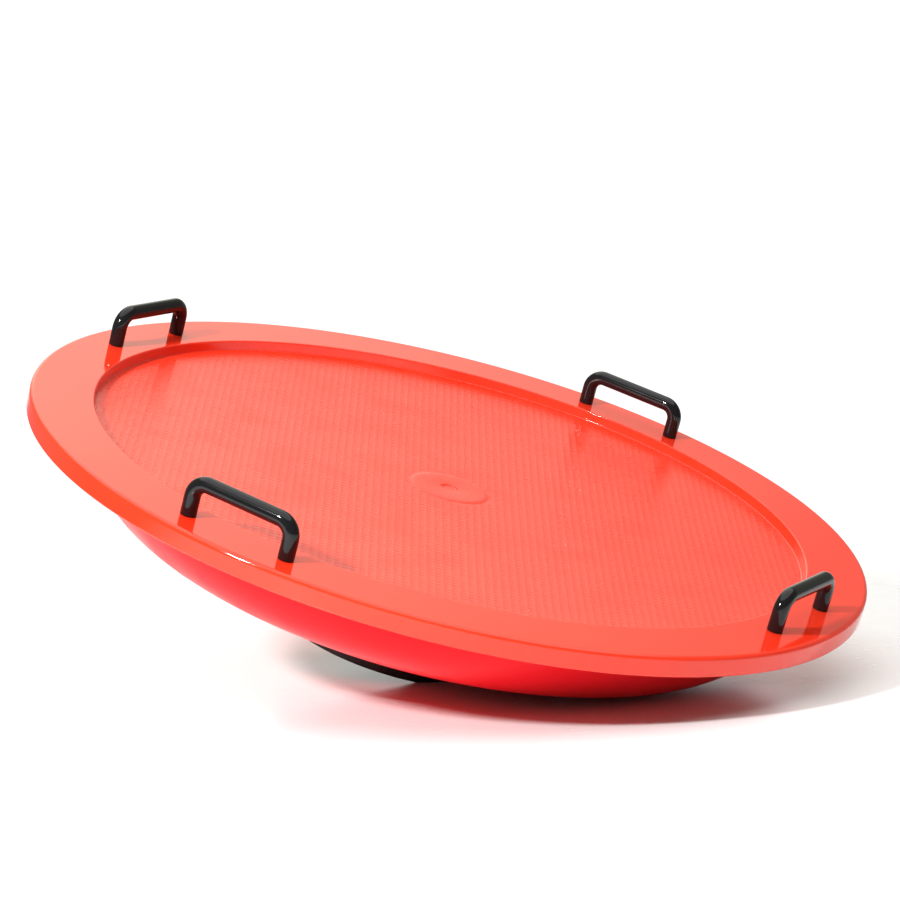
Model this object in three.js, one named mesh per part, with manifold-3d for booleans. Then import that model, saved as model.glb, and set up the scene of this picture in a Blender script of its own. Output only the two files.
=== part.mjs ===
// Round wobble board: a wide dished deck with four bar handles, on a rocking bowl with a flat rubber foot.
// Millimetres, +Z up, origin at the centre of the underside of the foot. Heights below are absolute.
import * as THREE from 'three';
import { mergeVertices } from 'three/addons/utils/BufferGeometryUtils.js';
import Module from 'manifold-3d';

const wasm = await Module();
wasm.setup();

// ---------------------------------------------------------------- driving dimensions
const BOARD_RADIUS = 500;
const RIM_HEIGHT = 201;         // top face of the rim above the floor
const FIT_GAP = 0.3;            // clearance between pieces that touch
const WALL = 3.5;               // thickness of the rim and bowl mouldings

const LIP_DEPTH = 23;           // lip's lower edge below the rim's face
const EDGE_ROUND = 5;           // radius of the rim's outer corner
const RECESS_TOP_RADIUS = 426;
const RECESS_FOOT_RADIUS = 422;
const RECESS_DEPTH = 12;        // panel's edge below the rim's face
const LEDGE_RADIUS = 406;       // inner edge of the ledge that carries the panel

const PANEL_THICKNESS = 4;
const PANEL_DISH = 9;           // how much lower the panel is at its centre than at its edge
const HUB_RADIUS = 48;
const HUB_RISE = 0.8;
const HUB_BOSS_RADIUS = 34;
const HUB_BOSS_THICKNESS = 13;
const PLUG_RADIUS = 10;
const PLUG_THICKNESS = 3.4;
const PLUG_RECESS = 0.6;        // plug's rim below the hub's face
const PLUG_POCKET_DEPTH = 9;

const BOWL_RADIUS = 433.5;
const BOWL_DEPTH = 190;         // lowest point of the bowl below the rim's face
const BOWL_CAP_RADIUS = 904;    // spherical rocking surface
const BOWL_KNUCKLE_RADIUS = 115;
const BOWL_BEAD = 4;            // how far the bowl's top edge turns out
const CLAMP_RADIUS = 474;       // outer edge of the ring that clamps the bowl to the rim

const FOOT_RADIUS = 170;
const FOOT_TAPER = 3;           // the foot is this much wider at its top edge
const FOOT_POCKET_RADIUS = 32;  // recess in the foot's underside for the bolt's washer and nut
const FOOT_POCKET_TOP = 8.5;
const FOOT_SCREW_CIRCLE = 118;
const FOOT_SCREW_COUNT = 4;
const SCREW_POCKET_RADIUS = 10;
const SCREW_POCKET_TOP = 8;

const HANDLE_CIRCLE = 455;      // distance of the handles from the axis
const HANDLE_SPACING = 126;     // between the centres of a handle's legs
const HANDLE_BAR_RADIUS = 9;
const HANDLE_RISE = 40;         // bar's centreline above the rim's face
const HANDLE_BEND_RADIUS = 17.5;
const RIM_SCREW_COUNT = 8;

const POST_RADIUS = 26;
const POST_FLANGE_RADIUS = 44;
const POST_FLANGE_THICKNESS = 5;
const SUPPORT_RING_RADIUS = 250;
const SUPPORT_RING_FLANGE = 8;
const SUPPORT_RING_GAP = 1.5;   // free height above and below the support ring

const BOLT_RADIUS = 5;
const BOLT_HEAD_THICKNESS = 4;
const NUT_RADIUS = 9;           // across the corners, halved
const NUT_THICKNESS = 4;
const FOOT_WASHER_RADIUS = 28;
const FOOT_WASHER_THICKNESS = 2.5;
const SCREW_RADIUS = 3;
const SCREW_HEAD_RADIUS = 5.5;
const SCREW_HEAD_THICKNESS = 3.5;
const FOOT_SCREW_HEAD_RADIUS = 8;
const FOOT_SCREW_HEAD_THICKNESS = 4;
const SCREW_NUT_RADIUS = 6;
const WASHER_RADIUS = 8;
const WASHER_THICKNESS = 1.6;

const ROUND_SEGMENTS = 48;
const SMALL_SEGMENTS = 8;

// ---------------------------------------------------------------- materials
const plastic = (color, roughness) => new THREE.MeshStandardMaterial({ color, roughness, metalness: 0 });
const redPlastic = () => plastic(0xe01a16, 0.25);
const blackPlastic = () => plastic(0x0c0c0d, 0.2);
const greyPlastic = () => plastic(0x4a4a4c, 0.5);
const rubber = () => plastic(0x141414, 0.85);
const steel = () => new THREE.MeshStandardMaterial({ color: 0xb8b8ba, roughness: 0.35, metalness: 1 });

// ---------------------------------------------------------------- solids
function toSolid(geometry) {
  geometry.deleteAttribute('normal');
  geometry.deleteAttribute('uv');
  const merged = mergeVertices(geometry, 1e-3);
  const mesh = new wasm.Mesh({
    numProp: 3,
    vertProperties: new Float32Array(merged.attributes.position.array),
    triVerts: new Uint32Array(merged.index.array),
  });
  return new wasm.Manifold(mesh);
}

function toMesh(name, solid, material) {
  const cut = solid.getMesh();
  const geometry = new THREE.BufferGeometry();
  geometry.setAttribute('position', new THREE.BufferAttribute(Float32Array.from(cut.vertProperties), 3));
  geometry.setIndex(new THREE.BufferAttribute(Uint32Array.from(cut.triVerts), 1));
  geometry.computeVertexNormals();
  const mesh = new THREE.Mesh(geometry, material);
  mesh.name = name;
  return mesh;
}

// A solid of revolution about Z. The outline is closed, [radius, height] pairs, anticlockwise.
function revolve(outline, segments = ROUND_SEGMENTS) {
  const points = [...outline, outline[0]].map(([radius, height]) => new THREE.Vector2(radius, height));
  return toSolid(new THREE.LatheGeometry(points, segments).rotateX(Math.PI / 2));
}

// A solid of revolution whose outline starts and ends on the axis instead of closing on itself.
function revolveOnAxis(outline, segments) {
  const points = outline.map(([radius, height]) => new THREE.Vector2(radius, height));
  return toSolid(new THREE.LatheGeometry(points, segments).rotateX(Math.PI / 2));
}

// An upright round bar between two heights, standing on the point (x, y).
function bar(radius, low, high, x = 0, y = 0, segments = SMALL_SEGMENTS) {
  const geometry = new THREE.CylinderGeometry(radius, radius, high - low, segments).rotateX(Math.PI / 2);
  return toSolid(geometry.translate(x, y, (low + high) / 2));
}

function ring(inner, outer, low, high, segments = 12) {
  return revolve([[inner, low], [outer, low], [outer, high], [inner, high]], segments);
}

// Points on an arc about (radius, height), between two angles in degrees from the +radius direction.
function arc(radius, height, size, fromDegrees, toDegrees, steps) {
  return Array.from({ length: steps + 1 }, (_, step) => {
    const angle = THREE.MathUtils.degToRad(fromDegrees + (toDegrees - fromDegrees) * step / steps);
    return [radius + size * Math.cos(angle), height + size * Math.sin(angle)];
  });
}

const onCircle = (radius, degrees) => {
  const angle = THREE.MathUtils.degToRad(degrees);
  return [radius * Math.cos(angle), radius * Math.sin(angle)];
};

const subtractAll = (solid, tools) => tools.reduce((rest, tool) => rest.subtract(tool), solid);

// ---------------------------------------------------------------- where the fasteners stand
const HANDLES = [
  { name: 'front', degrees: 270 },
  { name: 'right', degrees: 0 },
  { name: 'back', degrees: 90 },
  { name: 'left', degrees: 180 },
];

// Each leg is half the spacing to one side of its handle's middle, measured along the tangent.
function legPlaces({ name, degrees }) {
  const [middleX, middleY] = onCircle(HANDLE_CIRCLE, degrees);
  const [tangentX, tangentY] = onCircle(1, degrees + 90);
  return [-1, 1].map((side) => ({
    name: `${name}_${side < 0 ? 'a' : 'b'}`,
    x: middleX + side * tangentX * HANDLE_SPACING / 2,
    y: middleY + side * tangentY * HANDLE_SPACING / 2,
  }));
}

const LEGS = HANDLES.flatMap(legPlaces);

// The rim screws come in pairs in the four stretches between the handles.
const RIM_SCREWS = Array.from({ length: RIM_SCREW_COUNT }, (_, index) => {
  const quarter = Math.floor(index / 2) * 90;
  const [x, y] = onCircle(HANDLE_CIRCLE, quarter + (index % 2 ? 60 : 30));
  return { name: `${index + 1}`, x, y };
});

const FOOT_SCREWS = Array.from({ length: FOOT_SCREW_COUNT }, (_, index) => {
  const [x, y] = onCircle(FOOT_SCREW_CIRCLE, 45 + index * 360 / FOOT_SCREW_COUNT);
  return { name: `${index + 1}`, x, y };
});

// ---------------------------------------------------------------- shared heights
const RIM_UNDERSIDE = RIM_HEIGHT - WALL;
const BOWL_TOP = RIM_UNDERSIDE - FIT_GAP;
const BEAD_UNDERSIDE = BOWL_TOP - WALL;
const CLAMP_UNDERSIDE = BEAD_UNDERSIDE - FIT_GAP - WALL;
const PANEL_EDGE_TOP = RIM_HEIGHT - RECESS_DEPTH;
const LEDGE_TOP = panelTop(LEDGE_RADIUS) - PANEL_THICKNESS - FIT_GAP;
const LEDGE_UNDERSIDE = LEDGE_TOP - WALL;
const HUB_TOP = PANEL_EDGE_TOP - PANEL_DISH + HUB_RISE;
const HUB_BOSS_UNDERSIDE = HUB_TOP - HUB_BOSS_THICKNESS;
const PLUG_POCKET_FLOOR = HUB_TOP - PLUG_POCKET_DEPTH;
const BOWL_BOTTOM = RIM_HEIGHT - BOWL_DEPTH;
const BOWL_CAP_CENTRE = BOWL_BOTTOM + BOWL_CAP_RADIUS;
const SCREW_HOLE_RADIUS = SCREW_RADIUS + FIT_GAP;
const HANDLE_SCREW_TIP = RIM_HEIGHT + 18;
const RIM_SCREW_TIP = RIM_HEIGHT - 1.5;
const FOOT_SCREW_TIP = BOWL_BOTTOM + 21;
const FOOT_HOLE_TOP = BOWL_BOTTOM + 40;

// Height of the dished panel's upper face.
function panelTop(radius) {
  return PANEL_EDGE_TOP - PANEL_DISH * (1 - (radius / RECESS_FOOT_RADIUS) ** 2);
}

// Height of the bowl's rocking surface, or of a surface parallel to it inside or outside.
function capHeight(radius, inward = 0) {
  return BOWL_CAP_CENTRE - Math.sqrt((BOWL_CAP_RADIUS - inward) ** 2 - radius ** 2);
}

// ---------------------------------------------------------------- deck
function deckRim() {
  const lipBottom = RIM_HEIGHT - LIP_DEPTH;
  const roundCentre = [BOARD_RADIUS - EDGE_ROUND, RIM_HEIGHT - EDGE_ROUND];
  const outline = [
    [BOARD_RADIUS - WALL, lipBottom],
    [BOARD_RADIUS, lipBottom],
    ...arc(...roundCentre, EDGE_ROUND, 0, 90, 3),
    [RECESS_TOP_RADIUS + 1, RIM_HEIGHT],
    [RECESS_TOP_RADIUS - 1, RIM_HEIGHT - 1],
    [RECESS_FOOT_RADIUS, PANEL_EDGE_TOP],
    [RECESS_FOOT_RADIUS, LEDGE_TOP],
    [LEDGE_RADIUS, LEDGE_TOP],
    [LEDGE_RADIUS, LEDGE_UNDERSIDE],
    [RECESS_FOOT_RADIUS + WALL, LEDGE_UNDERSIDE],
    [RECESS_TOP_RADIUS + WALL, RIM_UNDERSIDE],
    ...arc(...roundCentre, EDGE_ROUND - WALL, 90, 0, 3),
  ];
  const legHoles = LEGS.map(({ x, y }) => bar(SCREW_HOLE_RADIUS, LEDGE_UNDERSIDE, RIM_HEIGHT + 1, x, y));
  const pilotTop = RIM_SCREW_TIP + FIT_GAP;
  const pilotHoles = RIM_SCREWS.map(({ x, y }) => bar(SCREW_HOLE_RADIUS, LEDGE_UNDERSIDE, pilotTop, x, y));
  return toMesh('deck_rim', subtractAll(revolve(outline), [...legHoles, ...pilotHoles]), redPlastic());
}

function deckPanel() {
  const edge = RECESS_FOOT_RADIUS - FIT_GAP;
  const dishSteps = [0.2, 0.4, 0.6, 0.8, 1];
  const along = (from) => dishSteps.map((part) => from + (edge - from) * part);
  const outline = [
    [BOLT_RADIUS + FIT_GAP, HUB_BOSS_UNDERSIDE],
    [HUB_BOSS_RADIUS, HUB_BOSS_UNDERSIDE],
    [HUB_BOSS_RADIUS, panelTop(HUB_BOSS_RADIUS) - PANEL_THICKNESS],
    ...along(HUB_BOSS_RADIUS).map((radius) => [radius, panelTop(radius) - PANEL_THICKNESS]),
    ...along(HUB_RADIUS + 1).reverse().map((radius) => [radius, panelTop(radius)]),
    [HUB_RADIUS + 1, panelTop(HUB_RADIUS + 1)],
    [HUB_RADIUS, HUB_TOP],
    [PLUG_RADIUS + FIT_GAP, HUB_TOP],
    [PLUG_RADIUS + FIT_GAP, PLUG_POCKET_FLOOR],
    [BOLT_RADIUS + FIT_GAP, PLUG_POCKET_FLOOR],
  ];
  return toMesh('deck_panel', revolve(outline), redPlastic());
}

function hubPlug() {
  const top = HUB_TOP - PLUG_RECESS;
  const underside = top - PLUG_THICKNESS;
  const dishDepth = 0.7;
  const outline = [
    [0, underside],
    [PLUG_RADIUS, underside],
    [PLUG_RADIUS, top],
    [PLUG_RADIUS - 1.5, top],
    [PLUG_RADIUS - 3, top - dishDepth],
    [0, top - dishDepth],
  ];
  return toMesh('hub_plug', revolveOnAxis(outline, 24), redPlastic());
}

// ---------------------------------------------------------------- bowl
function bowlShell() {
  const knuckleRadius = BOWL_RADIUS - BOWL_KNUCKLE_RADIUS;
  const reach = BOWL_CAP_RADIUS - BOWL_KNUCKLE_RADIUS;
  const joinDegrees = THREE.MathUtils.radToDeg(Math.asin(knuckleRadius / reach));
  const knuckleHeight = BOWL_CAP_CENTRE - Math.sqrt(reach ** 2 - knuckleRadius ** 2);
  const capRadii = [60, FOOT_SCREW_CIRCLE + 12, 210, 290];
  const hole = BOLT_RADIUS + FIT_GAP;
  const outline = [
    [hole, capHeight(hole)],
    ...capRadii.map((radius) => [radius, capHeight(radius)]),
    ...arc(knuckleRadius, knuckleHeight, BOWL_KNUCKLE_RADIUS, joinDegrees - 90, 0, 5),
    [BOWL_RADIUS, BEAD_UNDERSIDE],
    [BOWL_RADIUS + BOWL_BEAD, BEAD_UNDERSIDE],
    [BOWL_RADIUS + BOWL_BEAD, BOWL_TOP],
    [BOWL_RADIUS - WALL, BOWL_TOP],
    ...arc(knuckleRadius, knuckleHeight, BOWL_KNUCKLE_RADIUS - WALL, 0, joinDegrees - 90, 5),
    ...capRadii.toReversed().map((radius) => [radius, capHeight(radius, WALL)]),
    [hole, capHeight(hole, WALL)],
  ];
  const footHoles = FOOT_SCREWS.map(({ x, y }) => bar(SCREW_HOLE_RADIUS, BOWL_BOTTOM, FOOT_HOLE_TOP, x, y));
  return toMesh('bowl_shell', subtractAll(revolve(outline), footHoles), redPlastic());
}

// A rabbeted ring under the rim: its step traps the bowl's turned-out edge.
function clampRing() {
  const stepRadius = BOWL_RADIUS + BOWL_BEAD + 2 * FIT_GAP;
  const outline = [
    [BOWL_RADIUS + 2 * FIT_GAP, CLAMP_UNDERSIDE],
    [CLAMP_RADIUS, CLAMP_UNDERSIDE],
    [CLAMP_RADIUS, BOWL_TOP],
    [stepRadius, BOWL_TOP],
    [stepRadius, BEAD_UNDERSIDE - FIT_GAP],
    [BOWL_RADIUS + 2 * FIT_GAP, BEAD_UNDERSIDE - FIT_GAP],
  ];
  const holes = [...LEGS, ...RIM_SCREWS].map(({ x, y }) => {
    return bar(SCREW_HOLE_RADIUS, CLAMP_UNDERSIDE - 1, BOWL_TOP + 1, x, y);
  });
  return toMesh('clamp_ring', subtractAll(revolve(outline), holes), greyPlastic());
}

// ---------------------------------------------------------------- inner supports
function centrePost() {
  const inner = POST_RADIUS - WALL;
  const top = HUB_BOSS_UNDERSIDE - FIT_GAP;
  const seat = capHeight(POST_FLANGE_RADIUS, WALL) + 2 * FIT_GAP;
  const flangeTop = seat + POST_FLANGE_THICKNESS;
  const outline = [
    [inner, seat],
    [POST_FLANGE_RADIUS, seat],
    [POST_FLANGE_RADIUS, flangeTop],
    [POST_RADIUS, flangeTop],
    [POST_RADIUS, top],
    [inner, top],
  ];
  return toMesh('centre_post', revolve(outline, 24), greyPlastic());
}

function supportRing() {
  const inner = SUPPORT_RING_RADIUS - WALL / 2;
  const outer = SUPPORT_RING_RADIUS + WALL / 2;
  const flange = outer + SUPPORT_RING_FLANGE;
  const top = panelTop(inner) - PANEL_THICKNESS - SUPPORT_RING_GAP;
  const foot = capHeight(flange, WALL) + SUPPORT_RING_GAP;
  const outline = [
    [inner, foot],
    [flange, foot],
    [flange, foot + WALL],
    [outer, foot + WALL],
    [outer, top - WALL],
    [flange, top - WALL],
    [flange, top],
    [inner, top],
  ];
  return toMesh('support_ring', revolve(outline), greyPlastic());
}

function centreBolt() {
  const headFoot = PLUG_POCKET_FLOOR + FIT_GAP;
  const tip = FOOT_POCKET_TOP - FOOT_WASHER_THICKNESS - 2 * FIT_GAP - NUT_THICKNESS - FIT_GAP;
  const head = bar(PLUG_RADIUS - 1, headFoot, headFoot + BOLT_HEAD_THICKNESS, 0, 0, 6);
  const shank = bar(BOLT_RADIUS, tip, headFoot + 1);
  return toMesh('centre_bolt', head.add(shank), steel());
}

// ---------------------------------------------------------------- foot
function footPad() {
  const topEdge = FOOT_RADIUS + FOOT_TAPER;
  const chamfer = 1.5;
  const hole = BOLT_RADIUS + FIT_GAP;
  const topRadii = [topEdge, 120, 60, hole];
  const outline = [
    [FOOT_POCKET_RADIUS, 0],
    [FOOT_RADIUS - chamfer, 0],
    [FOOT_RADIUS, chamfer],
    ...topRadii.map((radius) => [radius, capHeight(radius) - 2 * FIT_GAP]),
    [hole, FOOT_POCKET_TOP],
    [FOOT_POCKET_RADIUS, FOOT_POCKET_TOP],
  ];
  const pockets = FOOT_SCREWS.flatMap(({ x, y }) => [
    bar(SCREW_POCKET_RADIUS, -1, SCREW_POCKET_TOP, x, y),
    bar(SCREW_HOLE_RADIUS, 0, FOOT_HOLE_TOP, x, y),
  ]);
  return toMesh('foot_pad', subtractAll(revolve(outline), pockets), rubber());
}

function footWasher() {
  const top = FOOT_POCKET_TOP - FIT_GAP;
  const washer = ring(BOLT_RADIUS + FIT_GAP, FOOT_WASHER_RADIUS, top - FOOT_WASHER_THICKNESS, top, 24);
  return toMesh('foot_washer', washer, steel());
}

function footNut() {
  const top = FOOT_POCKET_TOP - FOOT_WASHER_THICKNESS - 2 * FIT_GAP;
  const nut = bar(NUT_RADIUS, top - NUT_THICKNESS, top, 0, 0, 6);
  return toMesh('foot_nut', nut.subtract(bar(BOLT_RADIUS + FIT_GAP, 0, FOOT_POCKET_TOP)), steel());
}

function footScrew({ name, x, y }) {
  const headTop = SCREW_POCKET_TOP - FIT_GAP;
  const head = bar(FOOT_SCREW_HEAD_RADIUS, headTop - FOOT_SCREW_HEAD_THICKNESS, headTop, x, y);
  const shank = bar(SCREW_RADIUS, headTop - 1, FOOT_SCREW_TIP, x, y);
  return toMesh(`foot_screw_${name}`, head.add(shank), steel());
}

function footScrewNut({ name, x, y }) {
  const foot = capHeight(FOOT_SCREW_CIRCLE + SCREW_NUT_RADIUS, WALL) + 4 * FIT_GAP;
  const nut = bar(SCREW_NUT_RADIUS, foot, foot + 5, x, y, 6);
  const hole = bar(SCREW_HOLE_RADIUS, foot - 1, foot + 6, x, y);
  return toMesh(`foot_screw_nut_${name}`, nut.subtract(hole), steel());
}

// ---------------------------------------------------------------- handles
// The bar's centreline: up one leg, round a bend, across the grip and down the other leg.
class HandleLine extends THREE.Curve {
  getPoint(share, target = new THREE.Vector3()) {
    const half = HANDLE_SPACING / 2;
    const legLength = HANDLE_RISE - FIT_GAP - HANDLE_BEND_RADIUS;
    const bendLength = HANDLE_BEND_RADIUS * Math.PI / 2;
    const gripHalf = half - HANDLE_BEND_RADIUS;
    const total = 2 * (legLength + bendLength + gripHalf);
    const mirrored = share > 0.5;
    const travelled = total * (mirrored ? 1 - share : share);
    const bendAngle = Math.min(Math.max((travelled - legLength) / HANDLE_BEND_RADIUS, 0), Math.PI / 2);
    const alongLeg = Math.min(travelled, legLength);
    const alongGrip = Math.max(travelled - legLength - bendLength, 0);
    const across = -half + HANDLE_BEND_RADIUS * (1 - Math.cos(bendAngle)) + alongGrip;
    const height = alongLeg + HANDLE_BEND_RADIUS * Math.sin(bendAngle);
    return target.set(mirrored ? -across : across, 0, RIM_HEIGHT + FIT_GAP + height);
  }
}

function handle(place) {
  const section = new THREE.Shape().absarc(0, 0, HANDLE_BAR_RADIUS, 0, 2 * Math.PI);
  const geometry = new THREE.ExtrudeGeometry(section, {
    extrudePath: new HandleLine(), steps: 26, curveSegments: 5, bevelEnabled: false,
  });
  geometry.translate(0, -HANDLE_CIRCLE, 0);
  geometry.rotateZ(THREE.MathUtils.degToRad(place.degrees + 90));
  const holeTop = HANDLE_SCREW_TIP + 2;
  const holes = legPlaces(place).map(({ x, y }) => bar(SCREW_HOLE_RADIUS, RIM_HEIGHT, holeTop, x, y));
  return toMesh(`handle_${place.name}`, subtractAll(toSolid(geometry), holes), blackPlastic());
}

// ---------------------------------------------------------------- fasteners of the handles and the rim
function handleWasher({ name, x, y }) {
  const top = CLAMP_UNDERSIDE - FIT_GAP;
  const washer = ring(SCREW_HOLE_RADIUS, WASHER_RADIUS, top - WASHER_THICKNESS, top);
  return toMesh(`handle_washer_${name}`, washer.translate([x, y, 0]), steel());
}

function screwUpwards(name, x, y, headTop, tip) {
  const head = bar(SCREW_HEAD_RADIUS, headTop - SCREW_HEAD_THICKNESS, headTop, x, y);
  const shank = bar(SCREW_RADIUS, headTop - 1, tip, x, y);
  return toMesh(name, head.add(shank), steel());
}

function handleScrew({ name, x, y }) {
  const headTop = CLAMP_UNDERSIDE - 2 * FIT_GAP - WASHER_THICKNESS;
  return screwUpwards(`handle_screw_${name}`, x, y, headTop, HANDLE_SCREW_TIP);
}

function rimScrew({ name, x, y }) {
  return screwUpwards(`rim_screw_${name}`, x, y, CLAMP_UNDERSIDE - FIT_GAP, RIM_SCREW_TIP);
}

// ---------------------------------------------------------------- the whole board
const board = new THREE.Group();
board.add(deckRim(), deckPanel(), hubPlug(), bowlShell(), clampRing());
board.add(centrePost(), supportRing(), centreBolt());
board.add(footPad(), footWasher(), footNut());
board.add(...FOOT_SCREWS.map(footScrew), ...FOOT_SCREWS.map(footScrewNut));
board.add(...HANDLES.map(handle), ...LEGS.map(handleWasher), ...LEGS.map(handleScrew));
board.add(...RIM_SCREWS.map(rimScrew));

export default board;
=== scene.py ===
import math

import bmesh
import bpy
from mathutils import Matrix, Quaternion, Vector


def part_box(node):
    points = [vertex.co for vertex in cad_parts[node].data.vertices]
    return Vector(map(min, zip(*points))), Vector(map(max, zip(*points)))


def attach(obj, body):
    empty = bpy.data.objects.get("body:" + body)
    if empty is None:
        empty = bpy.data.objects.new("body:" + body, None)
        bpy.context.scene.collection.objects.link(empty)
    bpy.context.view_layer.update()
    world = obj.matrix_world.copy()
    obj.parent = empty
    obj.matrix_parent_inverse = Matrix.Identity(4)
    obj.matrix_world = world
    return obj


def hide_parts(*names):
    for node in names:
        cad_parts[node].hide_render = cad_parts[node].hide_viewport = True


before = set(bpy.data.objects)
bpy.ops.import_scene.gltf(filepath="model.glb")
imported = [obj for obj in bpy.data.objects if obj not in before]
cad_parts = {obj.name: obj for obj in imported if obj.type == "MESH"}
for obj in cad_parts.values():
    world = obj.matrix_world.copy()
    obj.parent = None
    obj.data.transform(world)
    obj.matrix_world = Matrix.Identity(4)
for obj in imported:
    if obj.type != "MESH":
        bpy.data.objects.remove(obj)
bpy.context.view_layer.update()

# ---------------------------------------------------------------- driving dimensions
MM = 0.001
FIT_GAP = 0.3 * MM
WALL = 3.5 * MM                 # thickness of the mouldings
ROUND_SEGMENTS = 240            # sides of the large turned pieces
SMALL_SEGMENTS = 40             # sides of the fasteners and the handle bars
SHARP_DEGREES = 32              # edges that turn more than this are shaded sharp

EDGE_ROUND = 5 * MM
LIP_FOOT_ROUND = 1.7 * MM
RECESS_WIDTH = 4 * MM           # between the top of the recess wall and the panel
RECESS_ROUND = 2 * MM
LEDGE_WIDTH = 16 * MM

PANEL_THICKNESS = 4 * MM
PANEL_DISH = 9 * MM             # how much lower the panel is at its centre than at its edge
GRID_PITCH = 9.15 * MM
GRID_DEGREES = 31
RIDGE_HEIGHT = 0.08 * MM
RIDGE_TOP = 1.0 * MM            # widths of a ridge at its top and its foot
RIDGE_FOOT = 2.0 * MM
GRID_INNER = 50.5 * MM
GRID_MARGIN = 6.5 * MM          # smooth band between the grid and the panel's edge
HUB_RADIUS = 47.5 * MM
HUB_RISE = 0.8 * MM
HUB_SLOPE = 4 * MM              # half the width of the soft slope round the hub
HUB_BOSS_RADIUS = 34 * MM
PLUG_DISH = 0.7 * MM

BOWL_CAP_RADIUS = 904 * MM      # spherical rocking surface
BOWL_KNUCKLE_RADIUS = 115 * MM
BOWL_BEAD = 4 * MM

FOOT_TAPER = 3 * MM             # the foot is this much wider at its top edge
FOOT_POCKET_RADIUS = 32 * MM
SCREW_POCKET_RADIUS = 10 * MM
FOOT_HOLE_TOP = 0.06            # above the screws that hold the foot to the bowl
TREAD_RADII = [46 * MM, 60 * MM, 74 * MM, 88 * MM, 146 * MM, 158 * MM]
TREAD_WIDTH = 3 * MM
TREAD_DEPTH = 1.2 * MM

HANDLE_BEND_RADIUS = 17.5 * MM
SCREW_RADIUS = 3 * MM
SCREW_HOLE_RADIUS = SCREW_RADIUS + FIT_GAP
BOLT_RADIUS = 5 * MM

CAMERA_AIM = Vector((-0.0126, 0.0015, 0.2232))
CAMERA_AZIMUTH = 26.313
CAMERA_ELEVATION = 17.196
CAMERA_ROLL = 14.825
CAMERA_DISTANCE = 3.4652
CAMERA_LENS = 118.65
FLOOR_PITCH = 5                 # degrees that the camera looks down at the floor
FLOOR_RADIUS = 2.6
FLOOR_RINGS = 12
FLOOR_SIDES = 96
FLOOR_FADE_START = 0.45         # shares of the floor's radius between which it fades out
FLOOR_FADE_END = 0.95
FLOOR_WHITE = (0.97, 0.97, 0.97, 1)
FLOOR_SMOOTHEST = 0.22          # roughness
FLOOR_ROUGHEST = 0.28
FLOOR_SPECULAR = 0.35

KEY_UP = 0.47                   # direction of the key light, along the floor's up, left and near directions
KEY_LEFT = 0.56
KEY_NEAR = 0.69
KEY_DISTANCE = 3.0
KEY_SIZE = 0.3
KEY_POWER = 120

WALL_BRIGHT = 1.5               # strength of the wall behind the board, at its left and at its right
WALL_DIM = 0.3
GLOW_BRIGHT = 1.15              # strength of the wall's foot, in the middle
SIDES_DIM = 0.2                 # strength of the rest of the room
SOFT_BOX = 1.75
WARM_LIGHT = (1.0, 0.99, 0.84, 1)
NEUTRAL_LIGHT = (1, 1, 1, 1)


def top_of(node):
    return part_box(node)[1].z


def foot_of(node):
    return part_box(node)[0].z


def radius_of(node):
    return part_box(node)[1].x


def middle_of(node):
    low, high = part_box(node)
    return (low + high) / 2


BOARD_RADIUS = radius_of("deck_rim")
RIM_TOP = top_of("deck_rim")
LIP_FOOT = foot_of("deck_rim")
PANEL_RADIUS = radius_of("deck_panel")
PANEL_EDGE_TOP = top_of("deck_panel")
PANEL_UNDERSIDE = foot_of("deck_panel")
HUB_TOP = PANEL_EDGE_TOP - PANEL_DISH + HUB_RISE
PLUG_RADIUS = radius_of("hub_plug")
BOWL_RADIUS = radius_of("bowl_shell") - BOWL_BEAD
BOWL_TOP = top_of("bowl_shell")
BOWL_BOTTOM = foot_of("bowl_shell")
CAP_CENTRE = BOWL_BOTTOM + BOWL_CAP_RADIUS
FOOT_RADIUS = radius_of("foot_pad") - FOOT_TAPER
FOOT_POCKET_TOP = top_of("foot_washer") + FIT_GAP
HANDLES = ["front", "right", "back", "left"]
LEGS = [f"{handle}_{side}" for handle in HANDLES for side in "ab"]
RIM_SCREWS = range(1, 9)
FOOT_SCREWS = range(1, 5)


# ---------------------------------------------------------------- outlines
def rounded(corners, steps=6):
    """A closed outline through (radius, height, rounding) corners. Each rounding is an arc tangent to its two
    sides, with a support point close to each end that keeps the flat sides flat in shading."""
    support = 0.4 * MM
    outline = []
    for index, (radius, height, rounding) in enumerate(corners):
        here = Vector((radius, height))
        if not rounding:
            outline.append(here)
            continue
        back = (Vector(corners[index - 1][:2]) - here).normalized()
        ahead = (Vector(corners[(index + 1) % len(corners)][:2]) - here).normalized()
        half = back.angle(ahead) / 2
        reach = rounding / math.tan(half)
        centre = here + (back + ahead).normalized() * rounding / math.sin(half)
        start = here + back * reach
        end = here + ahead * reach
        outline.append(start + back * support)
        outline += arc_between(centre, start, end, steps)
        outline.append(end + ahead * support)
    return outline


def arc_between(centre, start, end, steps):
    """Points on the shorter arc about centre from start to end."""
    first = start - centre
    turn = math.atan2(first.y, first.x)
    last = end - centre
    sweep = math.remainder(math.atan2(last.y, last.x) - turn, math.tau)
    angles = [turn + sweep * step / steps for step in range(steps + 1)]
    return [centre + first.length * Vector((math.cos(angle), math.sin(angle))) for angle in angles]


def panel_height(radius):
    """Height of the dished panel's smooth upper face."""
    return PANEL_EDGE_TOP - PANEL_DISH * (1 - (radius / (PANEL_RADIUS + FIT_GAP)) ** 2)


def cap_height(radius, inward=0.0):
    """Height of the bowl's rocking surface, or of a surface parallel to it."""
    return CAP_CENTRE - math.sqrt((BOWL_CAP_RADIUS - inward) ** 2 - radius**2)


# ---------------------------------------------------------------- meshes
def new_piece(name, vertices, faces):
    mesh = bpy.data.meshes.new(name)
    mesh.from_pydata([tuple(vertex) for vertex in vertices], [], faces)
    piece = bpy.data.objects.new(name, mesh)
    bpy.context.scene.collection.objects.link(piece)
    return piece


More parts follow.
